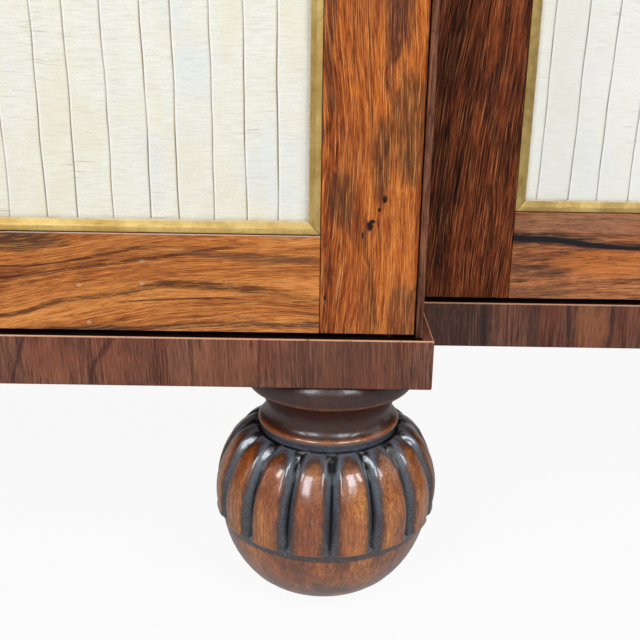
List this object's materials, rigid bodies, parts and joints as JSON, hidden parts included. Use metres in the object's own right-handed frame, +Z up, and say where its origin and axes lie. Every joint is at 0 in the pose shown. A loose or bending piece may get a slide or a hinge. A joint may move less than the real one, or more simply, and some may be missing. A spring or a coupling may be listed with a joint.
{
  "type": "breakfront chiffonier",
  "caption": "Rosewood breakfront chiffonier with pleated silk door panels in brass fillets, a thin plinth on carved bun feet, and a raised shelf on turned columns.",
  "frame": {"origin": "on the floor under the middle of the overall box", "axes": "+Z up, the doors face -Y, +X to the right as seen from the front"},
  "size_m": [1.564, 0.447, 1.1837],
  "materials": {
    "rosewood": "polished",
    "crossbanding": "polished",
    "carved_rosewood": "polished",
    "carcass_wood": "unfinished",
    "silk": "pleated slub silk",
    "brass": "aged"
  },
  "bodies": {
    "carcass": {"foot_front_left_inner": "carved_rosewood", "foot_front_right_inner": "carved_rosewood", "foot_front_left_outer": "carved_rosewood", "foot_front_right_outer": "carved_rosewood", "foot_back_left": "carved_rosewood", "foot_back_right": "carved_rosewood", "base_board": "crossbanding", "partition_left": "rosewood", "partition_right": "rosewood", "end_left": "rosewood", "end_right": "rosewood", "back_panel": "carcass_wood", "shelf_centre": "carcass_wood", "shelf_left": "carcass_wood", "shelf_right": "carcass_wood", "frieze_board": "crossbanding", "top_board": "rosewood", "upper_back": "rosewood", "upper_shelf": "rosewood", "column_left": "brass", "column_right": "brass", "gallery": "brass"},
    "centre_left_door": {"centre_left_door_hanging_stile": "rosewood", "centre_left_door_closing_stile": "rosewood", "centre_left_door_bottom_rail": "rosewood", "centre_left_door_top_rail": "rosewood", "centre_left_door_silk_panel": "silk", "centre_left_door_brass_fillet": "brass", "centre_left_door_lower_pivot": "brass", "centre_left_door_upper_pivot": "brass"},
    "centre_right_door": {"centre_right_door_hanging_stile": "rosewood", "centre_right_door_closing_stile": "rosewood", "centre_right_door_bottom_rail": "rosewood", "centre_right_door_top_rail": "rosewood", "centre_right_door_silk_panel": "silk", "centre_right_door_brass_fillet": "brass", "centre_right_door_lower_pivot": "brass", "centre_right_door_upper_pivot": "brass", "centre_right_door_lock_case": "brass"},
    "side_left_door": {"side_left_door_hanging_stile": "rosewood", "side_left_door_closing_stile": "rosewood", "side_left_door_bottom_rail": "rosewood", "side_left_door_top_rail": "rosewood", "side_left_door_silk_panel": "silk", "side_left_door_brass_fillet": "brass", "side_left_door_lower_pivot": "brass", "side_left_door_upper_pivot": "brass", "side_left_door_lock_case": "brass"},
    "side_right_door": {"side_right_door_hanging_stile": "rosewood", "side_right_door_closing_stile": "rosewood", "side_right_door_bottom_rail": "rosewood", "side_right_door_top_rail": "rosewood", "side_right_door_silk_panel": "silk", "side_right_door_brass_fillet": "brass", "side_right_door_lower_pivot": "brass", "side_right_door_upper_pivot": "brass", "side_right_door_lock_case": "brass"},
    "centre_lock_bolt": {"centre_right_door_lock_bolt": "brass"},
    "left_lock_bolt": {"side_left_door_lock_bolt": "brass"},
    "right_lock_bolt": {"side_right_door_lock_bolt": "brass"}
  },
  "joints": [
    {"name": "centre_left_hinge", "type": "hinge", "parent": "carcass", "child": "centre_left_door", "pos_m": [-0.3988, -0.1985, 0.4873], "axis": [0, 0, -1], "range_deg": [0, 110]},
    {"name": "centre_right_hinge", "type": "hinge", "parent": "carcass", "child": "centre_right_door", "pos_m": [0.3988, -0.1985, 0.4873], "axis": [0, 0, 1], "range_deg": [0, 110]},
    {"name": "side_left_hinge", "type": "hinge", "parent": "carcass", "child": "side_left_door", "pos_m": [-0.7438, -0.1355, 0.4873], "axis": [0, 0, -1], "range_deg": [0, 110]},
    {"name": "side_right_hinge", "type": "hinge", "parent": "carcass", "child": "side_right_door", "pos_m": [0.7438, -0.1355, 0.4873], "axis": [0, 0, 1], "range_deg": [0, 110]},
    {"name": "centre_bolt_slide", "type": "slide", "parent": "centre_right_door", "child": "centre_lock_bolt", "axis": [-1, 0, 0], "range_m": [0, 0.007]},
    {"name": "left_bolt_slide", "type": "slide", "parent": "side_left_door", "child": "left_lock_bolt", "axis": [1, 0, 0], "range_m": [0, 0.007]},
    {"name": "right_bolt_slide", "type": "slide", "parent": "side_right_door", "child": "right_lock_bolt", "axis": [-1, 0, 0], "range_m": [0, 0.007]}
  ]
}
